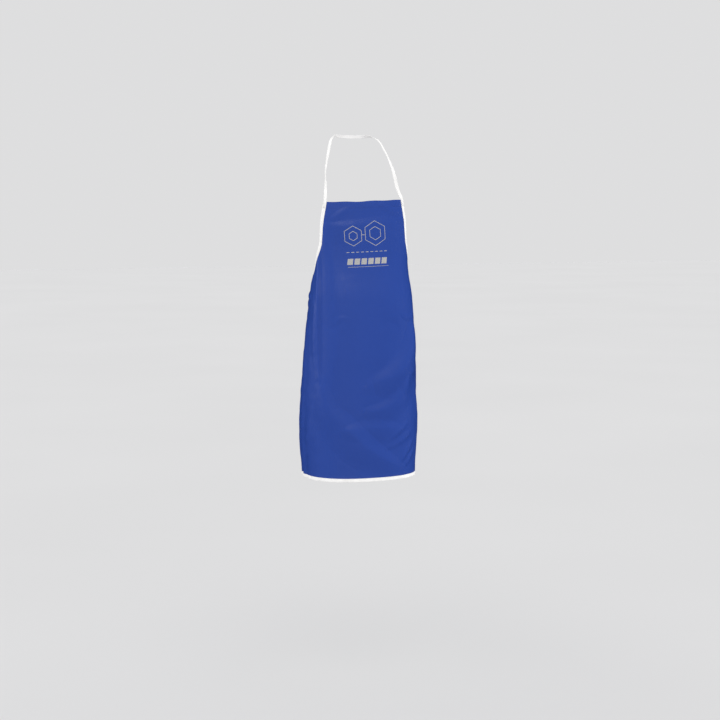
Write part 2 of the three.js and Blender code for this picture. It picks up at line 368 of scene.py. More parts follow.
TABLE_TOP, TABLE_BOTTOM = TOP + 20.0, HEM - 20.0
HEIGHT_STEP, ALONG_STEP, ALONG_END = 2.0, 1.0, 620.0


def section_table():
    """Points of the sections, at even heights and at even distances along them."""
    along = np.arange(0.0, ALONG_END, ALONG_STEP)
    rows = []
    for height in np.arange(TABLE_BOTTOM, TABLE_TOP + HEIGHT_STEP, HEIGHT_STEP):
        line = section(height)
        rows.append(at_lengths(along, lengths(line), line))
    return np.array(rows)


SECTIONS = section_table()


def surface(along, height):
    """The worn surface without folds."""
    row = np.clip((height - TABLE_BOTTOM) / HEIGHT_STEP, 0.0, len(SECTIONS) - 1.001)
    column = np.clip(np.abs(along) / ALONG_STEP, 0.0, SECTIONS.shape[1] - 1.001)
    i, j = row.astype(int), column.astype(int)
    u, v = (row - i)[..., None], (column - j)[..., None]
    low = SECTIONS[i, j] * (1 - v) + SECTIONS[i, j + 1] * v
    high = SECTIONS[i + 1, j] * (1 - v) + SECTIONS[i + 1, j + 1] * v
    flat = low * (1 - u) + high * u
    return np.stack([np.sign(along) * flat[..., 0], flat[..., 1], height + 0.0 * along], -1)


def unit(vectors):
    return vectors / np.maximum(np.linalg.norm(vectors, axis=-1, keepdims=True), 1e-9)


def facing(shape, along, height, probe):
    """Outward direction of a surface given as a function of along and height."""
    across = shape(along + probe, height) - shape(along - probe, height)
    upward = shape(along, height + probe) - shape(along, height - probe)
    return unit(np.cross(across, upward))


def half_width(height):
    """Half the width of the cut at a height."""
    armhole = np.sqrt(1.0 - np.clip((TOP - height) / ARMHOLE_DEPTH, 0.0, 1.0)**2)
    bow = EDGE_BOW * np.sin(math.pi * np.clip((TOP - height) / BOW_DEPTH, 0.0, 1.0))
    return FULL_HALF - (FULL_HALF - BIB_TOP_HALF) * armhole + bow


# ---- folds ----------------------------------------------------------------------------------

# Each fold is a ridge (a hollow where the rise is below 0) along a route of (along, height)
# points: route, rise, how far it falls off to the left of the run, and to the right.
SMALL_FOLDS = [
    ([(-136, -266), (-67, -272), (11, -266), (138, -258)], 3.2, 13, 46),
    ([(-114, -252), (-86, -234), (-56, -212)], 1.3, 6, 10),
    ([(38, -199), (81, -224), (126, -233)], 1.5, 5, 10),
    ([(-20, -206), (40, -211), (96, -207)], 0.6, 6, 12),
    ([(-103, -276), (-110, -360), (-115, -432), (-119, -552)], 0.8, 7, 9),
    ([(-100, -400), (-84, -440), (-74, -486)], 0.5, 7, 9),
    ([(95, -285), (112, -330), (118, -372)], 0.9, 8, 12),
    # Waist and hips.
    ([(-146, -335), (-157, -492), (-162, -610), (-160, -742)], -9.0, 36, 8),
    ([(-162, -350), (-170, -430), (-174, -505)], 1.8, 6, 7),
    ([(-184, -500), (-190, -590), (-188, -690)], 1.8, 6, 9),
    ([(-118, -556), (-99, -547), (-73, -546)], 1.2, 6, 8),
    ([(-161, -550), (-127, -574), (-99, -564)], -0.8, 8, 10),
    ([(17, -580), (59, -559), (93, -584)], -1.2, 12, 16),
    ([(95, -531), (120, -548), (165, -534)], 2.2, 5, 6),
    ([(122, -698), (143, -713), (167, -715)], 1.8, 5, 6),
    # The far side and the back, out of the photograph's sight, have drag folds of the same kind.
    ([(196, -560), (214, -640), (206, -735)], 2.4, 16, 12),
    ([(232, -610), (250, -740), (246, -880)], 2.6, 12, 16),
    ([(182, -780), (208, -870), (250, -960)], 2.8, 14, 18),
    ([(-228, -560), (-246, -660), (-244, -760)], 2.0, 12, 14),
    ([(-196, -800), (-216, -880), (-262, -985)], 2.2, 14, 16),
]
SKIRT_FOLDS = [
    ([(-8, -742), (71, -716), (121, -672), (141, -632), (153, -556)], 15.0, 28, 50),
    ([(-34, -824), (19, -822), (59, -806), (99, -776), (124, -722)], 8.2, 16, 30),
    ([(-98, -882), (-7, -876), (98, -884)], 5.4, 17, 30),
    ([(-162, -728), (-152, -788), (-136, -824), (-89, -873), (-29, -931), (49, -981), (92, -1002)],
     10.0, 25, 46),
    ([(130, -862), (90, -886), (50, -915)], 2.6, 7, 8),
    ([(140, -896), (90, -920), (38, -940)], 3.0, 8, 8),
    ([(154, -922), (122, -952), (88, -986)], 3.4, 7, 8),
    ([(164, -950), (136, -974), (108, -998)], 2.8, 7, 8),
    ([(-266, -880), (-267, -950), (-265, -1024)], 3.0, 7, 10),
]
# Creases that the waist tie draws out of the cloth's corners: angle below level, length, rise.
TIE_PULLS = [(-14, 78, 1.8), (6, 128, 2.6), (24, 112, 2.2), (44, 96, 2.2), (64, 120, 1.8)]
PULL_SIDES = {-1: (0.86, -3), 1: (1.0, 4)}      # share of the length, extra angle
PULL_INSET, PULL_FALL, PULL_DROOP = 8.0, 7.0, 0.08


def tie_pull_folds():
    """Both sides' creases, which droop a little towards their ends."""
    folds = []
    for side, (share, extra) in PULL_SIDES.items():
        corner = np.array([side * (FULL_HALF - PULL_INSET), WAIST - PULL_INSET])
        for angle, length, rise in TIE_PULLS:
            reach, slope = length * share, math.radians(angle + extra)
            way = np.array([-side * math.cos(slope), -math.sin(slope)])
            end = corner + way * reach - (0.0, PULL_DROOP * reach)
            folds.append(([corner, corner + way * reach * 0.5, end], rise, PULL_FALL, PULL_FALL))
    return folds


def curve_through(points, count):
    """A smooth curve through points, as an even number of steps of its length."""
    points = np.asarray(points, float)
    knots = lengths(points)
    slopes = np.gradient(points, knots, axis=0)
    low, step, t = bracket(knots, np.linspace(0.0, knots[-1], count * 4))
    dense = hermite(points, slopes, low, step[:, None], t[:, None])
    length = lengths(dense)
    return at_lengths(np.linspace(0.0, length[-1], count), length, dense)


def ridge(along, height, route, rise, left, right):
    """Height of one fold, which thins out towards the ends of its route."""
    total = np.zeros(along.shape)
    path = curve_through(route, 16)
    margin = 3.0 * max(left, right)
    low, high = path.min(0) - margin, path.max(0) + margin
    near = (along > low[0]) & (along < high[0]) & (height > low[1]) & (height < high[1])
    if not near.any():
        return total
    x, y = along[near], height[near]
    best = np.full(x.shape, 1e9)
    side, share = np.zeros(x.shape), np.zeros(x.shape)
    for k in range(len(path) - 1):
        start, run = path[k], path[k + 1] - path[k]
        t = np.clip(((x - start[0]) * run[0] + (y - start[1]) * run[1]) / (run @ run), 0.0, 1.0)
        away_x, away_y = x - start[0] - t * run[0], y - start[1] - t * run[1]
        away = np.hypot(away_x, away_y)
        closer = away < best
        best = np.where(closer, away, best)
        side = np.where(closer, run[0] * away_y - run[1] * away_x, side)
        share = np.where(closer, (k + t) / (len(path) - 1), share)
    swell = np.sin(math.pi * np.clip(share, 0.02, 0.98))**0.6
    reach = 1.6 * np.where(side > 0.0, left, right) * (0.3 + 0.7 * swell)
    fall = np.clip((np.hypot(best, 2.5) - 2.5) / reach, 0.0, 1.0)
    total[near] = rise * swell * (1.0 - 0.55 * fall - 0.45 * smooth(fall))
    return total


def crumple(along, height, length, seed):
    """The sum of nine random waves of about one length, scaled to stay near 1 at most."""
    draw = np.random.default_rng(seed)
    total = 0.0
    for _ in range(9):
        turn, phase = draw.uniform(0.0, math.tau, 2)
        pace = math.tau / (length * draw.uniform(0.7, 1.4))
        total = total + np.sin(pace * (along * math.cos(turn) + height * math.sin(turn)) + phase)
    return total / 4.0


SMALL_FOLDS += tie_pull_folds()
LOOSE_FROM, LOOSE_OVER = 140.0, 90.0        # the cloth lies looser beyond this distance along it
LONG_WAVE, LONG_RISE, LONG_RISE_LOOSE = 130.0, 0.3, 1.1
SHORT_WAVE, SHORT_RISE, SHORT_RISE_LOOSE = 38.0, 0.08, 0.30
SIDE_FROM, SIDE_OVER, SIDE_LOSS = 150.0, 60.0, 0.75     # the skirt's folds get lower at the side
FLUTE_FROM, FLUTE_OVER, FLUTE_PITCH, FLUTE_RISE = 222.0, 70.0, 54.0, 5.5
FLUTE_START, FLUTE_SHIFT = 236.0, 0.9       # the shift in radians sets the two sides apart
FLUTE_TOP, FLUTE_GROWTH = -560.0, 420.0
PUCKER, PUCKER_REACH = 0.22, 9.0
EDGE_PUCKER_PITCH, HEM_PUCKER_PITCH = 12.5, 13.5
TURNED_IN, TURNED_IN_REACH = 4.5, 12.0      # how far the right armhole's edge turns in
TURNED_IN_TOP, TURNED_IN_FOOT = -228.0, -475.0


def relief(along, height):
    """How far the cloth stands out from the worn surface."""
    reach = np.abs(along)
    loose = smooth((reach - LOOSE_FROM) / LOOSE_OVER)
    total = (LONG_RISE + LONG_RISE_LOOSE * loose) * crumple(along, height, LONG_WAVE, 3) \
        + (SHORT_RISE + SHORT_RISE_LOOSE * loose) * crumple(along, height, SHORT_WAVE, 5)
    for fold in SMALL_FOLDS:
        total = total + ridge(along, height, *fold)
    flatter = 1.0 - SIDE_LOSS * smooth((reach - SIDE_FROM) / SIDE_OVER)
    for fold in SKIRT_FOLDS:
        total = total + flatter * ridge(along, height, *fold)
    # The sides hang free behind the hips, in flutes that deepen towards the hem.
    free = smooth((reach - FLUTE_FROM) / FLUTE_OVER) * smooth((FLUTE_TOP - height) / FLUTE_GROWTH)
    flute = np.sin(math.tau * (reach - FLUTE_START) / FLUTE_PITCH + FLUTE_SHIFT * np.sign(along))
    total = total + FLUTE_RISE * free * flute
    inward = np.abs(half_width(height) - reach)
    turned = smooth((TURNED_IN_TOP - height) / 70.0) * smooth((height - TURNED_IN_FOOT) / 60.0)
    total = total - TURNED_IN * turned * (along < 0.0) * np.exp(-inward / TURNED_IN_REACH)
    # Sewing draws the bound edges up in small puckers.
    for place, pitch, away in ((height, EDGE_PUCKER_PITCH, inward),
                               (along, HEM_PUCKER_PITCH, np.abs(height - HEM))):
        total = total + PUCKER * np.sin(math.tau * place / pitch) * np.exp(-away / PUCKER_REACH)
    return total


def draped(along, height):
    """The middle of the cloth, with its folds, its lean and the bib's tilt."""
    along, height = np.broadcast_arrays(along, height)
    place = surface(along, height)
    place = place + facing(surface, along, height, PROBE) * relief(along, height)[..., None]
    place[..., 0] += np.interp(height, STATIONS[:, 0], LEAN)
    tilt = BIB_TILT * smooth((height - TILT_FADES) / (TOP - TILT_FADES))
    place[..., 2] += tilt * along / BIB_TOP_HALF
    near_top = smooth(1.0 - (TOP - height) / 45.0)
    dips = np.exp(-((along + 35.0) / 48.0)**2) - 0.35 * np.sin(along / 13.0)
    place[..., 2] -= TOP_SAG * dips * near_top
    return place


def lifted(along, height, lift):
    """Points that lie `lift` out from the middle of the cloth, and the cloth's directions there."""
    along, height, lift = np.broadcast_arrays(along, height, lift)
    normal = facing(draped, along, height, FINE_PROBE)
    return draped(along, height) + normal * lift[..., None], normal


# ---- meshes ---------------------------------------------------------------------------------

def mesh_object(name, points, faces, made, cut=None, normals=None):
    """A smooth mesh in metres. `cut` holds each point's place on its flat piece of cloth or tape."""
    mesh = bpy.data.meshes.new(name)
    mesh.from_pydata((np.reshape(points, (-1, 3)) * MM).tolist(), [], faces)
    layer = mesh.uv_layers.new(name="cut")
    if cut is not None:
        corners = np.empty(len(mesh.loops), np.int32)
        mesh.loops.foreach_get("vertex_index", corners)
        places = np.reshape(cut, (-1, 2))[corners] * MM
        layer.data.foreach_set("uv", places.astype(np.float32).ravel())
    mesh.shade_smooth()
    mesh.materials.append(made)
    if normals is not None:
        mesh.normals_split_custom_set_from_vertices(np.reshape(normals, (-1, 3)).tolist())
    piece = bpy.data.objects.new(name, mesh)
    bpy.context.scene.collection.objects.link(piece)
    return piece


def grid_faces(rows, columns, first=0, flip=False):
    """Quads over a grid of points, row by row."""
    i, j = np.indices((rows - 1, columns - 1))
    a = (first + i * columns + j).ravel()
    quads = np.stack([a, a + columns, a + columns + 1, a + 1], -1)
    return quads[:, ::-1] if flip else quads


def ring_faces(rings, size, first=0, closed=False):
    """Quads of a tube of rings, with its two ends filled unless it closes on itself."""
    i, j = np.indices((rings if closed else rings - 1, size))
    here, there, beside = i * size + first, (i + 1) % rings * size + first, (j + 1) % size
    quads = np.stack([here + j, there + j, there + beside, here + beside], -1)
    faces = quads.reshape(-1, 4).tolist()
    if not closed:
        end = np.arange(size) + first
        faces += [end.tolist(), (end[::-1] + (rings - 1) * size).tolist()]
    return faces


CLOTH, CLOTH_STEP = 0.4, 3.0    # its thickness, and the size of its quads
EDGE_WEAR, WEAR_START, WEAR_FADE = 0.3, 10.0, 6.0   # the coating's wear beside the bindings
COLUMNS = 2 * round(FULL_HALF / CLOTH_STEP) + 1
SEAM_HEIGHT = -500.0            # the upper and the lower mesh of the one cloth meet here


def cloth_piece(name, heights, made):
    """A double layer of the cloth over these heights, closed all round its rim."""
    shares = np.linspace(-1.0, 1.0, COLUMNS)
    height, share = np.meshgrid(heights, shares, indexing="ij")
    along = share * half_width(height)
    size = height.size
    outer, normal = lifted(along, height, CLOTH / 2)
    rows = len(heights)
    faces = [grid_faces(rows, COLUMNS), grid_faces(rows, COLUMNS, size, flip=True)]
    top = np.arange(COLUMNS)
    left = np.arange(rows) * COLUMNS
    for line in (top[::-1], left, top + (rows - 1) * COLUMNS, left[::-1] + COLUMNS - 1):
        faces.append(np.stack([line[:-1], line[:-1] + size, line[1:] + size, line[1:]], -1))
    cut = np.stack([along, height], -1)
    piece = mesh_object(name, [outer, outer - normal * CLOTH], np.concatenate(faces).tolist(),
                        made, [cut, cut], [normal, -normal])
    inward = np.minimum(half_width(height) - np.abs(along), height - HEM)
    wear = EDGE_WEAR * np.exp(-np.maximum(inward - WEAR_START, 0.0) / WEAR_FADE)
    piece.data.attributes.new("wear", "FLOAT", "POINT").data.foreach_set(
        "value", np.tile(wear.ravel(), 2))
    return piece


def upper_cloth(made):
    turns = np.linspace(0.0, math.pi / 2, round(ARMHOLE_DEPTH / CLOTH_STEP * 1.3))
    heights = np.r_[TOP - ARMHOLE_DEPTH * np.sin(turns),
                    np.linspace(WAIST, SEAM_HEIGHT, round((WAIST - SEAM_HEIGHT) / CLOTH_STEP))[1:]]
    return cloth_piece("upper_cloth", heights, made)


def lower_cloth(made):
    count = round((SEAM_HEIGHT - HEM) / CLOTH_STEP)
    return cloth_piece("lower_cloth", np.linspace(SEAM_HEIGHT, HEM, count), made)


# ---- stitches -------------------------------------------------------------------------------

STITCH, STITCH_GAP, THREAD = 2.5, 0.8, 0.26
# Along a stitch: share of its length, rise and radius in threads.
STITCH_FORM = np.array([(0.0, -1.2, 0.5), (0.18, 0.35, 0.95), (0.5, 0.6, 1.0), (0.82, 0.35, 0.95),
                        (1.0, -1.2, 0.5)])
THREAD_SIDES = 6


def stitches(name, starts, ends, normals, made):
    """Threads that rise out of the cloth at each start and dive back at each end."""
    starts, ends, normals = (np.asarray(v, float) for v in (starts, ends, normals))
    share, rise, thick = STITCH_FORM.T
    middle = starts[:, None] + (ends - starts)[:, None] * share[:, None] \
        + normals[:, None] * THREAD * rise[:, None]
    beside = unit(np.cross(ends - starts, normals))
    turn = np.linspace(0.0, math.tau, THREAD_SIDES, endpoint=False)
    spoke = beside[:, None] * np.cos(turn)[:, None] + normals[:, None] * np.sin(turn)[:, None]
    points = middle[:, :, None] + spoke[:, None] * THREAD * thick[:, None, None]
    faces = []
    for k in range(len(starts)):
        faces += ring_faces(len(share), THREAD_SIDES, first=k * len(share) * THREAD_SIDES)
    return mesh_object(name, points, faces, made)


def on_face(face, starts, ends, lift):
    """Starts, ends and directions of stitches on one face of the cloth, from their places."""
    points, normals = lifted(*starts, face * lift)
    return points, lifted(*ends, face * lift)[0], face * normals


def stitched_line(route, lift):
    """Starts, ends and directions of the stitches that follow a route on the cloth, on both faces."""
    length = lengths(route)
    first = np.arange(0.6, length[-1] - STITCH, STITCH + STITCH_GAP)
    found = []
    for face in (1, -1):
        shift = 0.0 if face > 0 else (STITCH + STITCH_GAP) / 2
        starts, ends = (at_lengths(first + reach, length, route).T
                        for reach in (shift, shift + STITCH))
        found.append(on_face(face, starts, ends, lift))
    return [np.concatenate(part) for part in zip(*found)]


# ---- tapes ----------------------------------------------------------------------------------

BINDING = 10.2                  # how far the folded tape covers the cloth
BINDING_STITCH = 8.2            # from the edge to its stitch line


def binding_profile():
    """Section of the folded tape: depth into the cloth and lift off its middle, all the way round."""
    outside = [(BINDING, 0.62), (BINDING - 0.3, 0.82), (9.2, 0.80), (BINDING_STITCH, 0.60),
               (7.2, 0.82), (5.2, 1.02), (2.6, 1.08), (0.6, 0.98), (-0.4, 0.66), (-0.8, 0.0)]
    inside = [(-0.2, 0.0), (0.1, 0.26), (0.8, 0.34), (5.0, 0.30), (BINDING, 0.24)]
    back = [(depth, -lift) for depth, lift in outside[-2::-1]]
    inner = [(depth, -lift) for depth, lift in inside[::-1]]
    return outside + back + inner + inside[1:]


def binding(name, stops, ways, made, thread):
    """Tape folded over an edge, and its stitches. Stops are on the edge, ways lead into the cloth."""
    ways = unit(ways)
    profile = np.array(binding_profile())
    places = stops[:, None] + profile[:, :1] * ways[:, None]
    points, _ = lifted(places[..., 0], places[..., 1], profile[:, 1])
    faces = ring_faces(len(stops), len(profile))
    cut = np.stack(np.broadcast_arrays(profile[:, 0] - BINDING / 2, lengths(stops)[:, None]), -1)
    tape = mesh_object(name, points, faces, made, cut)
    seam = stitched_line(stops + ways * BINDING_STITCH, 0.66)
    return tape, stitches(f"{name}_stitches", *seam, thread)


TAPE_STEP = 2.5
ARMHOLE_LENGTH = 380.0
SIDE_INSET, HEM_OVERLAP = 9.4, 1.0      # the side tapes end inside the corners, the hem's past them


def armhole_route(side):
    """Stops along the curved edge, from the bib's corner to the waist corner, and the ways in."""
    turn = np.linspace(0.0, math.pi / 2, round(ARMHOLE_LENGTH / TAPE_STEP))
    height = TOP - ARMHOLE_DEPTH * np.sin(turn)
    stops = np.stack([side * half_width(height), height], -1)
    run = np.gradient(stops, axis=0)
    ways = np.stack([side * run[:, 1], -side * run[:, 0]], -1)
    return stops, ways


def side_route(side):
    height = np.arange(WAIST - SIDE_INSET, HEM + SIDE_INSET, -TAPE_STEP)
    stops = np.stack([np.full(height.shape, side * FULL_HALF), height], -1)
    return stops, np.broadcast_to([-side, 0.0], stops.shape)


def hem_route():
    along = np.arange(-FULL_HALF - HEM_OVERLAP, FULL_HALF + HEM_OVERLAP + 0.1, TAPE_STEP)
    stops = np.stack([along, np.full(along.shape, HEM)], -1)
    return stops, np.broadcast_to([0.0, 1.0], stops.shape)


TOP_FOLD = 21.0                 # how far the turned-in top edge reaches down


def top_hem(cloth, thread):
    """The bib's top edge, turned in over itself and sewn down."""
    profile = np.array([(TOP - 0.3, 0.25), (TOP + 0.3, -0.1), (TOP + 0.4, -0.6), (TOP, -1.1),
                        (TOP - 2.0, -1.3), (TOP - TOP_FOLD / 2, -1.25), (TOP - TOP_FOLD, -0.95),
                        (TOP - TOP_FOLD, -0.6), (TOP - TOP_FOLD / 2, -0.75), (TOP - 2.0, -0.8)])
    share = np.linspace(-1.0, 1.0, 121)
    along = share[:, None] * (half_width(profile[:, 0]) - BINDING + 0.8)
    height = np.broadcast_to(profile[:, 0], along.shape)
    points, _ = lifted(along, height, profile[:, 1])
    cut = np.stack([along, height], -1)
    fold = mesh_object("top_hem_fold", points, ring_faces(len(share), len(profile)), cloth, cut)
    level = TOP - TOP_FOLD + 2.5
    ends = half_width(level) - BINDING - 1.0
    seam = stitched_line([(-ends, level), (ends, level)], 0.24)
    return fold, stitches("top_hem_stitches", *seam, thread)


TAPE_WIDTH, TAPE_THICK = 12.0, 0.9
# Half the tape's section, from edge to edge: share of the half width, share of the thickness.
TAPE_TOP = [(-1.0, 0.25), (-0.97, 0.5), (-0.7, 0.42), (-0.25, 0.46), (0.25, 0.46), (0.7, 0.42),
            (0.97, 0.5), (1.0, 0.25)]
TAPE_SECTION = np.array([(wide, -rise) for wide, rise in TAPE_TOP] + TAPE_TOP[::-1])


def each(value, share):
    """A value along a tape, which is a number or a function of the share of its length."""
    return value(share) if callable(value) else np.full(share.shape, value)


def flat_tape(name, route, looks, made, count, turns, width, thick=TAPE_THICK, cup=0.0):
    """Tape of rounded section along a route. Looks are where its face points at the stops, turns
    are extra angles about the run, as (share, degrees), and cup is how far its edges bend back."""
    length = lengths(route)
    share = np.linspace(0.0, 1.0, count)
    path = curve_through(route, count)
    run = unit(np.gradient(path, axis=0))
    across = unit(np.cross(run, at_lengths(share, length / length[-1], looks)))
    face = unit(np.cross(across, run))
    places, degrees = np.array(turns, float).T
    low, _, t = bracket(places, share)
    angle = np.radians(degrees[low] + smooth(t) * (degrees[low + 1] - degrees[low]))[:, None]
    across, face = (across * np.cos(angle) + face * np.sin(angle),
                    face * np.cos(angle) - across * np.sin(angle))
    half = each(width, share)[:, None, None] / 2
    side, top = TAPE_SECTION.T
    rise = top * thick - each(cup, share)[:, None] * side**2
    points = path[:, None] + across[:, None] * side[:, None] * half \
        + face[:, None] * rise[..., None]
    cut = np.stack(np.broadcast_arrays(side * TAPE_WIDTH / 2, share[:, None] * length[-1]), -1)
    return mesh_object(name, points, ring_faces(count, len(TAPE_SECTION)), made, cut)


STRAP_WIDTH = 9.6
STRAP_END = 17.0                # how far the strap's end reaches down over the binding
STRAP_INWARD = 5.0              # from the bib's edge to the middle of the strap's end
# The strap's route on the wearer's left, up over the shoulder to the nape, with its face there.
STRAP_ROUTE = [
    ((116.5, -107.0, -164.5), (0.45, -0.88, 0.0)), ((108, -83, -101), (0.5, -0.8, 0.35)),
    ((91, -60, -45), (0.45, -0.6, 0.65)), ((74, -36, -8), (0.35, -0.1, 0.95)),
    ((56, -12, 2), (0.5, 0.5, 0.7)), ((32, -1, 1), (0.3, 0.9, 0.35)),
]
NAPE = ((0.0, 0.6, 0.0), (0.0, 1.0, 0.0))
# Turns of the strap about its own run, from its right end to its left end.
STRAP_TURNS = [(0.0, 0), (0.03, 0), (0.075, 15), (0.11, 37), (0.145, 58), (0.165, 54), (0.21, 40),
               (0.28, 20), (0.34, 4), (0.42, 0), (0.58, 0), (0.64, -16), (0.70, -2), (0.76, 5),
               (0.79, -4), (0.82, -22), (0.855, -50), (0.90, -46), (0.94, -26), (0.975, 0),
               (1.0, 0)]


def neck_tape(made):
    """One tape from corner to corner behind the neck, which twists a little over each shoulder."""
    def half(side):
        heights = np.array([TOP - STRAP_END, TOP - 9.0, TOP - 1.0])
        lifts = np.array([1.75, 1.7, 1.6])
        sewn = zip(*lifted(side * (half_width(heights) - STRAP_INWARD), heights, lifts))
        mirror = np.array([side, 1.0, 1.0])
        return [*sewn, *((mirror * place, mirror * look) for place, look in STRAP_ROUTE)]
    stops = half(-1) + [NAPE] + half(1)[::-1]
    route, looks = ([stop[k] for stop in stops] for k in (0, 1))
    return flat_tape("neck_tape", route, looks, made, count=360, turns=STRAP_TURNS,
                     width=STRAP_WIDTH, thick=0.8)


TIE_HEIGHT = WAIST - 6.0
KNOT_REACH = 11.0
TIE_SAG = 2.0
BACK_ALONG = lengths(section(TIE_HEIGHT))[-1]     # from the front middle to the back middle


def waist_tie(side, word, made):
    """The tape that draws the cloth back to the knot."""
    along = np.r_[FULL_HALF - 13.0, np.linspace(FULL_HALF + 2.0, BACK_ALONG - KNOT_REACH + 3.0, 8)]
    heights = np.full(along.shape, TIE_HEIGHT)
    looks = facing(surface, side * along, heights, PROBE)
    onto = np.array([1.9, 1.2] + [0.3] * 7)
    route = surface(side * along, heights) + looks * onto[:, None]
    route[:, 2] -= TIE_SAG * np.sin(np.linspace(0.0, math.pi, len(along)))
    return flat_tape(f"waist_tape_{word}", route, looks, made, count=90,
                     turns=[(0.0, 0), (0.25, 0), (0.6, 6 * side), (1.0, 0)],
                     width=lambda share: TAPE_WIDTH - 3.5 * smooth((share - 0.86) / 0.14),
                     cup=lambda share: 1.2 * smooth((share - 0.8) / 0.2))


KNOT = np.array([0.0, 12.0, TIE_HEIGHT])
# Section of a turn of tape in the knot, with its creases: across it, and out from its middle.
KNOT_SECTION = [(-1.0, -0.3), (-0.85, 0.35), (-0.45, 0.05), (-0.1, 0.5), (0.3, 0.1), (0.7, 0.5),
                (1.0, -0.1), (0.9, -0.7), (0.0, -0.8), (-0.9, -0.8)]


def knot_band(name, deep, tall, tilt, width, made):
    """One turn of tape round the knot, as a closed band tilted in the plane of the back."""
    turn = np.linspace(0.0, math.tau, 48, endpoint=False)
    lean = math.radians(tilt)
    centre = np.stack([0.0 * turn, deep * np.cos(turn), tall * np.sin(turn)], -1)
    out = unit(centre / np.array([1.0, deep**2, tall**2]))
    profile = np.array(KNOT_SECTION)
    pinch = 1.0 - 0.18 * np.abs(np.sin(turn))[:, None]
    points = centre[:, None] + (1.0, 0.0, 0.0) * (profile[:, :1] * width / 2) * pinch[..., None] \
        + out[:, None] * profile[None, :, 1:] * 1.1
    cosine, sine = math.cos(lean), math.sin(lean)
    points = KNOT + points @ np.array([(cosine, 0, -sine), (0, 1, 0), (sine, 0, cosine)])
    cut = np.stack(np.broadcast_arrays(profile[:, 0] * 5.0, turn[:, None] * 9.0), -1)
    return mesh_object(name, points, ring_faces(len(turn), len(profile), closed=True), made, cut)


def bow_knot(made):
    """Three turns of tape: two that lean to the loops, and the one that holds them."""
    return [knot_band("knot_lean_left", 6.2, 8.6, 34, 8.0, made),
            knot_band("knot_lean_right", 6.2, 8.6, -34, 8.0, made),
            knot_band("knot_wrap", 7.6, 9.6, 4, 9.5, made)]


LOOP_LENGTH, LOOP_SAG = 88.0, 3.0
LOOP_DROOP = math.radians(24)
# Share of the length, distance off the back, and distance up across the loop.
LOOP_RUN = [(-0.04, 0.5, 0.0), (0.12, -0.6, -1.5), (0.36, -1.4, -4.5), (0.65, -1.6, -6.0),
            (0.88, 0.0, -4.2), (1.0, 5.0, 0.5), (0.88, 9.6, 5.0), (0.62, 10.4, 6.5), (0.34, 9.0, 5.0),
            (0.12, 6.6, 2.0), (-0.03, 5.0, 0.5)]


def bow_loop(side, word, made):
    """A drooping loop, gathered where it enters the knot."""
    out = np.array([side * math.cos(LOOP_DROOP), 0.0, -math.sin(LOOP_DROOP)])
    over = np.array([side * math.sin(LOOP_DROOP), 0.0, math.cos(LOOP_DROOP)])
    root = KNOT + np.array([side * 9.0, 3.0, -1.0])
    run = np.array(LOOP_RUN)
    spots = root + out * run[:, :1] * LOOP_LENGTH + over * run[:, 2:]
    spots[:, 1] += run[:, 1]
    spots[:, 2] -= LOOP_SAG * np.sin(np.clip(run[:, 0], 0.0, 1.0) * math.pi)
    looks = np.cross(np.gradient(spots, axis=0), over)

    def spread(share):
        return smooth(np.minimum(share, 1.0 - share) / 0.16)

    return flat_tape(f"bow_tape_{word}", spots, looks, made, count=120,
                     width=lambda share: 7.0 + (TAPE_WIDTH - 7.0) * spread(share),
                     cup=lambda share: 2.4 * (1.0 - spread(share)),
                     turns=[(0.0, 0), (0.3, 7 * side), (0.6, -5), (1.0, 0)])


TAIL_LENGTH, TAIL_SPREAD = 291.0, 20.0
TAIL_HEM, TAIL_HEM_STITCH = 6.0, STITCH * 0.62


def tie_tail(side, word, made, thread):
    """A hanging end of the tie, with a slow turn in it and a hemmed tip."""
    top = KNOT + np.array([side * 7.5, 3.0, -8.0])
    share = np.array([0.0, 0.04, 0.12, 0.3, 0.5, 0.7, 0.88, 1.0])
    spread = side * TAIL_SPREAD * share**2
    depth = np.array([-1.0, 0.2, 0.8, 0.6, -0.2, 0.6, 1.2, 0.8])
    route = top + np.stack([spread, depth, -share * TAIL_LENGTH], -1)
    looks = np.tile([0.0, 1.0, 0.0], (len(share), 1))
    turn = 14 if side > 0 else -18
    tape = flat_tape(f"tail_tape_{word}", route, looks, made, count=140,
                     turns=[(0.0, 0), (0.25, turn), (0.55, -turn * 0.6), (0.85, turn * 0.5), (1.0, 0)],
                     width=lambda place: 8.0 + (TAPE_WIDTH - 8.0) * smooth(place / 0.07))
    across = np.arange(-4.6, 4.0, TAIL_HEM_STITCH + 0.5)
    starts = [route[-1] + (x, face * 0.5, TAIL_HEM) for face in (1, -1) for x in across]
    ends = [start + (TAIL_HEM_STITCH, 0.0, 0.0) for start in starts]
    normals = np.repeat([(0.0, 1.0, 0.0), (0.0, -1.0, 0.0)], len(across), axis=0)
    return tape, stitches(f"tail_hem_{word}", starts, ends, normals, thread)


# Lines of a tack as corners of its square, and how they are cut into stitches.
TACK_LINES = [((-1, -1), (1, -1)), ((1, -1), (1, 1)), ((1, 1), (-1, 1)), ((-1, 1), (-1, -1)),
              ((-1, -1), (1, 1)), ((1, -1), (-1, 1))]
TACK_STITCH, TACK_GAP, TACK_BACK_LIFT = 2.4, 0.04, 1.0      # the gap is a share of the line


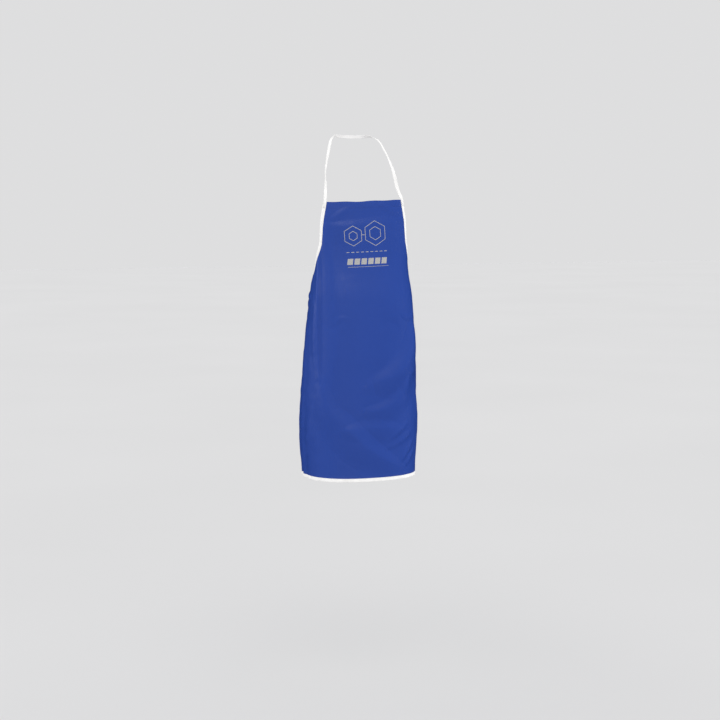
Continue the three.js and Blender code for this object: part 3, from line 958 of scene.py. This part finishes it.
def tack(name, along, height, wide, tall, lift, made):
    """A sewn square with a cross in it, on both faces."""
    middle, half = np.array([along, height]), np.array([wide, tall]) / 2
    starts, ends = [], []
    for line in TACK_LINES:
        start, end = half * line
        count = max(round(np.linalg.norm(end - start) / TACK_STITCH), 2)
        cuts = np.linspace(0.0, 1.0, count + 1)
        starts += [middle + (start + (end - start) * (cut + TACK_GAP)) for cut in cuts[:-1]]
        ends += [middle + (start + (end - start) * (cut - TACK_GAP)) for cut in cuts[1:]]
    found = [on_face(face, np.transpose(starts), np.transpose(ends), reach)
             for face, reach in ((1, lift), (-1, TACK_BACK_LIFT))]
    return stitches(name, *(np.concatenate(part) for part in zip(*found)), made)


# ---- chest mark -----------------------------------------------------------------------------

MARK_MIDDLE = (-4.0, -295.0)
MARK_TILT = math.radians(1.7)
INK = 0.12                      # the print's thickness over the cloth
# Each hexagon: its centre, its radius. Rows: their heights. All are from MARK_MIDDLE.
HEXAGONS = [((-42, -4), 30), ((-42, -4), 14), ((28, 1), 37), ((28, 1), 20)]
DASHES_HEIGHT, BLOCKS_FOOT, RULE_HEIGHT = -53.0, -90.0, -97.0
ROW_START, ROW_END = -66.0, 64.0
BLOCK_STROKES = np.arange(6) * 2.8  # a block of the print is laid as strokes side by side


def ribbon(points, width):
    """The two edges of a stroke through points, in turn at each point."""
    points = np.asarray(points, float)
    run = unit(np.gradient(points, axis=0))
    beside = np.stack([-run[:, 1], run[:, 0]], -1) * width / 2
    return np.stack([points + beside, points - beside], 1).reshape(-1, 2)


def hexagon(centre, radius, step=1.6):
    """An outline with a corner on top, which ends where it starts, as points a step apart."""
    angle = np.linspace(0.0, math.tau, 7) + math.pi / 6
    corners = centre + radius * np.stack([np.cos(angle), np.sin(angle)], -1)
    return at_lengths(np.linspace(0.0, 6.0, 6 * int(radius / step) + 1), np.arange(7), corners)


def mark_strokes():
    """Two linked hexagon outlines, a dashed rule, a row of slanted blocks and a fine rule, as
    strokes with their widths."""
    strokes = [(hexagon(centre, radius), 1.5) for centre, radius in HEXAGONS]
    strokes.append(([(x, -2.0) for x in np.arange(-16.0, -3.0, 1.5)], 1.5))
    for start in np.arange(ROW_START, ROW_END - 4.0, 15.0):
        strokes.append(([(start + x, DASHES_HEIGHT) for x in np.arange(0.0, 9.1, 3.0)], 1.8))
    for start in np.arange(ROW_START, ROW_END - 10.0, 21.6):
        for x in start + BLOCK_STROKES:
            strokes.append(([(x + 0.22 * k, BLOCKS_FOOT + k) for k in np.arange(0.0, 18.1, 1.8)], 2.9))
    strokes.append(([(x, RULE_HEIGHT) for x in np.arange(ROW_START, ROW_END + 0.1, 2.5)], 0.9))
    return strokes


def chest_mark(made):
    """A plain generic print, laid on the cloth."""
    flat, faces = [], []
    for points, width in mark_strokes():
        first = len(flat)
        flat.extend(ribbon(points, width))
        faces += [(k, k + 1, k + 3, k + 2) for k in range(first, len(flat) - 2, 2)]
    cosine, sine = math.cos(MARK_TILT), math.sin(MARK_TILT)
    places = MARK_MIDDLE + np.array(flat) @ np.array([(cosine, sine), (-sine, cosine)])
    points, normals = lifted(*places.T, CLOTH / 2 + INK)
    return mesh_object("chest_mark", points, faces, made, places, normals)


# ---- assembly -------------------------------------------------------------------------------

STRAP_TACK_HEIGHT = TOP - 9.5


def stands_for(piece, slot, *nodes):
    """The piece, once the CAD nodes that it replaces are hidden. The slot is not used."""
    if nodes:
        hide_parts(*nodes)
    return piece


def bound_edge(name, route, tape, thread, *nodes):
    """A taped edge and its stitches, which stand for these CAD pieces."""
    edge, seam = binding(name, *route, tape, thread)
    return [stands_for(edge, "binding_tape", *nodes), stands_for(seam, "thread")]


def upper_pieces(cloth, tape, thread, blue_thread, ink):
    """The upper cloth, its top hem, the chest mark and the armhole tapes, with their transforms baked.
    """
    body = stands_for(upper_cloth(cloth), "cloth", "bib_panel")
    fold, seam = top_hem(cloth, blue_thread)
    pieces = [stands_for(fold, "cloth", "bib_top_hem"), stands_for(seam, "thread"),
              chest_mark(ink)]
    for word, side in SIDES.items():
        pieces += bound_edge(f"armhole_tape_{word}", armhole_route(side), tape, thread,
                             f"armhole_binding_{word}", f"waist_binding_{word}")
    for piece in [body, *pieces]:
        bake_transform(piece)


def lower_pieces(cloth, tape, thread):
    """The lower cloth, the hem tape and the side tapes, with their transforms baked."""
    body = stands_for(lower_cloth(cloth), "cloth", "waist_panel", "skirt_panel")
    pieces = bound_edge("hem_tape", hem_route(), tape, thread, "hem_binding")
    for word, side in SIDES.items():
        pieces += bound_edge(f"side_tape_{word}", side_route(side), tape, thread,
                             f"flank_binding_{word}", f"side_binding_{word}")
    for piece in [body, *pieces]:
        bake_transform(piece)


def strap_pieces(tape, thread):
    strap = stands_for(neck_tape(tape), "strap_tape", "neck_strap")
    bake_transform(strap)
    for word, side in SIDES.items():
        middle = side * float(half_width(STRAP_TACK_HEIGHT) - STRAP_INWARD)
        square = tack(f"strap_stitches_{word}", middle, STRAP_TACK_HEIGHT, 7.0, 10.0, 2.1, thread)
        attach(stands_for(square, "thread", f"strap_tack_{word}"), "bib")


def tie_pieces(tape, thread):
    for band in bow_knot(tape):
        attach(stands_for(band, "strap_tape", "bow_knot"), "waist")
    for word, side in SIDES.items():
        tie = waist_tie(side, word, tape)
        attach(stands_for(tie, "strap_tape", f"waist_tie_{word}"), "waist")
        square = tack(f"tie_stitches_{word}", side * (FULL_HALF - 6.0), TIE_HEIGHT, 9.0, 8.0, 2.3,
                      thread)
        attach(stands_for(square, "thread", f"tie_tack_{word}"), "waist")
        loop = stands_for(bow_loop(side, word, tape), "strap_tape", f"bow_loop_{word}")
        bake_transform(loop)
        tail, tail_hem = tie_tail(side, word, tape, thread)
        stands_for(tail, "strap_tape", f"tie_tail_{word}")
        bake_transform(tail)
        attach(stands_for(tail_hem, "thread"), f"tie_tail_{word}")


def build():
    camera()
    studio()
    cloth = cloth_material()
    binding_tape = woven_tape_material("binding_tape", 0.0011, 0.00006, (0.87, 0.86, 0.85))
    strap_tape = woven_tape_material("strap_tape", 0.0015, 0.00012, (0.88, 0.87, 0.86))
    thread = thread_material("white_thread", (0.80, 0.79, 0.77))
    blue_thread = thread_material("blue_thread", (0.03, 0.065, 0.30))
    strap_pieces(strap_tape, thread)
    upper_pieces(cloth, binding_tape, thread, blue_thread, print_material())
    lower_pieces(cloth, binding_tape, thread)
    tie_pieces(strap_tape, thread)


build()
